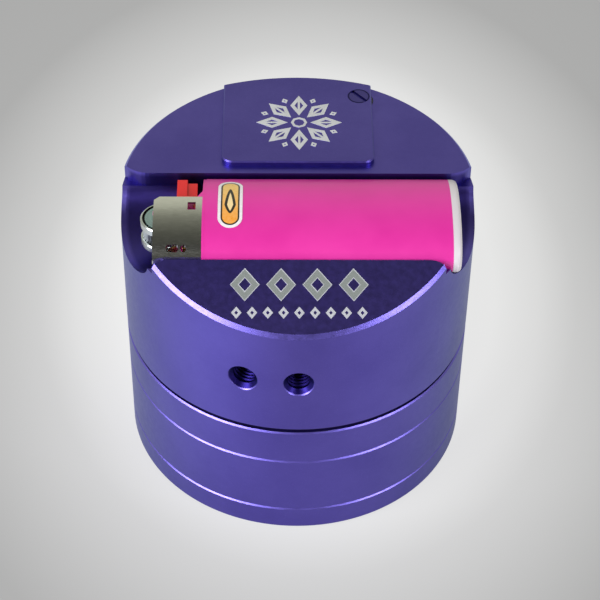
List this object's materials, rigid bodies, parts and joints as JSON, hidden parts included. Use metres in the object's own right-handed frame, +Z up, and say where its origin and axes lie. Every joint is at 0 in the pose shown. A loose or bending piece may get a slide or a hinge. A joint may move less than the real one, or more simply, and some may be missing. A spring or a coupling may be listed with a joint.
{
  "type": "herb grinder",
  "caption": "Round violet anodised herb grinder of stacked threaded stages, with a pocket lighter in a slot across its lid, a swivel-covered pocket and a sloped front face.",
  "frame": {"origin": "centre of the tray's foot, on the surface it stands on", "axes": "+Z up along the axis that the stages turn about; -Y towards the sloped face and the sockets; the lighter lies along X with its wheel towards -X"},
  "size_m": [0.068, 0.068, 0.063],
  "materials": {
    "violet_anodised": "bead-blasted and violet anodised, satin",
    "steel_mesh": "woven wire cloth",
    "steel": "stamped, satin",
    "magnet_nickel": "nickel plated",
    "dark_polymer": "low-friction polymer, matte",
    "dark_steel": "hardened, dark",
    "nylon": "plain",
    "pink_plastic": "moulded, glossy",
    "white_plastic": "moulded, satin",
    "red_plastic": "moulded, glossy",
    "brass": "turned",
    "flint": "pressed alloy"
  },
  "bodies": {
    "tray": {"tray": "violet_anodised"},
    "sifter_core": {"screen": "steel_mesh", "screen_clamp": "steel"},
    "sifter": {"sifter_ring": "violet_anodised"},
    "chamber_core": {"chamber_magnet": "magnet_nickel", "glide_ring": "dark_polymer"},
    "chamber": {"chamber": "violet_anodised"},
    "lid_core": {"lid_magnet": "magnet_nickel"},
    "lid": {"lid": "violet_anodised", "lid_front": "violet_anodised", "lid_skirt": "violet_anodised", "tooth_plate": "violet_anodised", "pivot_screw": "dark_steel", "pivot_washer": "nylon"},
    "cover": {"swivel_cover": "violet_anodised"},
    "lighter": {"lighter_tank": "pink_plastic", "lighter_base": "white_plastic", "lighter_head": "pink_plastic", "lighter_hood": "steel", "lighter_axle": "steel", "lighter_flint": "flint", "lighter_flint_spring": "steel"},
    "wheel": {"lighter_spark_wheel": "dark_steel", "lighter_thumb_wheels": "steel"},
    "fork": {"lighter_fork": "red_plastic"},
    "jet": {"lighter_jet": "brass"}
  },
  "joints": [
    {"name": "sifter_rise", "type": "slide", "parent": "tray", "child": "sifter_core", "axis": [0, 0, 1], "range_m": [0, 0.00375]},
    {"name": "sifter_unscrew", "type": "hinge", "parent": "sifter_core", "child": "sifter", "pos_m": [0, 0, 0.0057], "axis": [0, 0, 1], "range_deg": [0, 900]},
    {"name": "chamber_rise", "type": "slide", "parent": "sifter", "child": "chamber_core", "axis": [0, 0, 1], "range_m": [0, 0.00375]},
    {"name": "chamber_unscrew", "type": "hinge", "parent": "chamber_core", "child": "chamber", "pos_m": [0, 0, 0.0197], "axis": [0, 0, 1], "range_deg": [0, 900]},
    {"name": "lid_lift_off", "type": "slide", "parent": "chamber", "child": "lid_core", "axis": [0, 0, 1], "range_m": [0, 0.045]},
    {"name": "lid_turn", "type": "hinge", "parent": "lid_core", "child": "lid", "pos_m": [0, 0, 0.0364], "axis": [0, 0, 1], "continuous": true},
    {"name": "cover_swivel", "type": "hinge", "parent": "lid", "child": "cover", "pos_m": [0.0122, 0.0264, 0.06], "axis": [0, 0, -1], "range_deg": [0, 130]},
    {"name": "lighter_lift_out", "type": "slide", "parent": "lid", "child": "lighter", "axis": [0, 0, 1], "range_m": [0, 0.03]},
    {"name": "wheel_spin", "type": "hinge", "parent": "lighter", "child": "wheel", "pos_m": [-0.02545, -0.00905, 0.0573], "axis": [0, 0, 1], "continuous": true},
    {"name": "fork_press", "type": "hinge", "parent": "lighter", "child": "fork", "pos_m": [-0.01915, -0.0072, 0.0573], "axis": [0, 0, -1], "range_deg": [0, 8], "stiffness_Nm_per_rad": 0.02, "springref_deg": -5.73},
    {"name": "jet_rise", "type": "slide", "parent": "lighter", "child": "jet", "axis": [-1, 0, 0], "range_m": [0, 0.000977]}
  ],
  "couplings": [
    {"joint": "sifter_unscrew", "follows": "sifter_rise", "rad_per_m": 4188.8},
    {"joint": "chamber_unscrew", "follows": "chamber_rise", "rad_per_m": 4188.8},
    {"joint": "fork_press", "follows": "jet_rise", "rad_per_m": 142.86}
  ]
}
